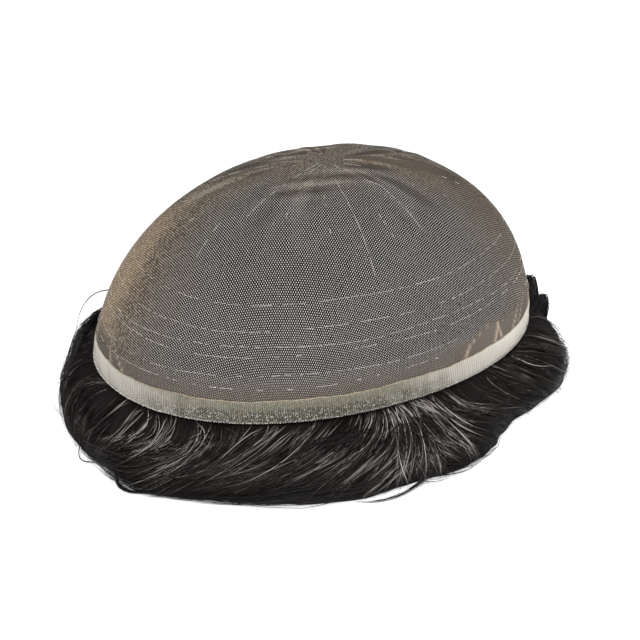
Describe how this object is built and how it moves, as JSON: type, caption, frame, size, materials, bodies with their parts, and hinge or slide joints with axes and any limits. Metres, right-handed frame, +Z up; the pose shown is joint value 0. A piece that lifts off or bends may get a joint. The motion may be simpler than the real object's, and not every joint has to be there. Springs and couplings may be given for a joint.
{
  "type": "toupee hairpiece",
  "caption": "Toupee turned inside out: domed lace base with a sewn perimeter band, over dark hair that lines it and flares out beneath.",
  "frame": {"origin": "the middle of the whole outline, on the surface that the hair lies on", "axes": "+Z up out of the surface; -X to the front hairline and +X to the back, along the length; -Y to the side that the picture shows"},
  "size_m": [0.215, 0.1868, 0.089],
  "materials": {
    "lace": "fine open hexagonal net of pale beige thread, matt",
    "mesh_tape": "cream fine-mesh tape, slightly translucent, with a stitched lower edge",
    "hair": "near-black straight to wavy hair with a soft grey-brown sheen"
  },
  "bodies": {
    "root": {"lace_base": "lace", "perimeter_band": "mesh_tape", "top_hair": "hair", "perimeter_hair": "hair"}
  },
  "joints": []
}
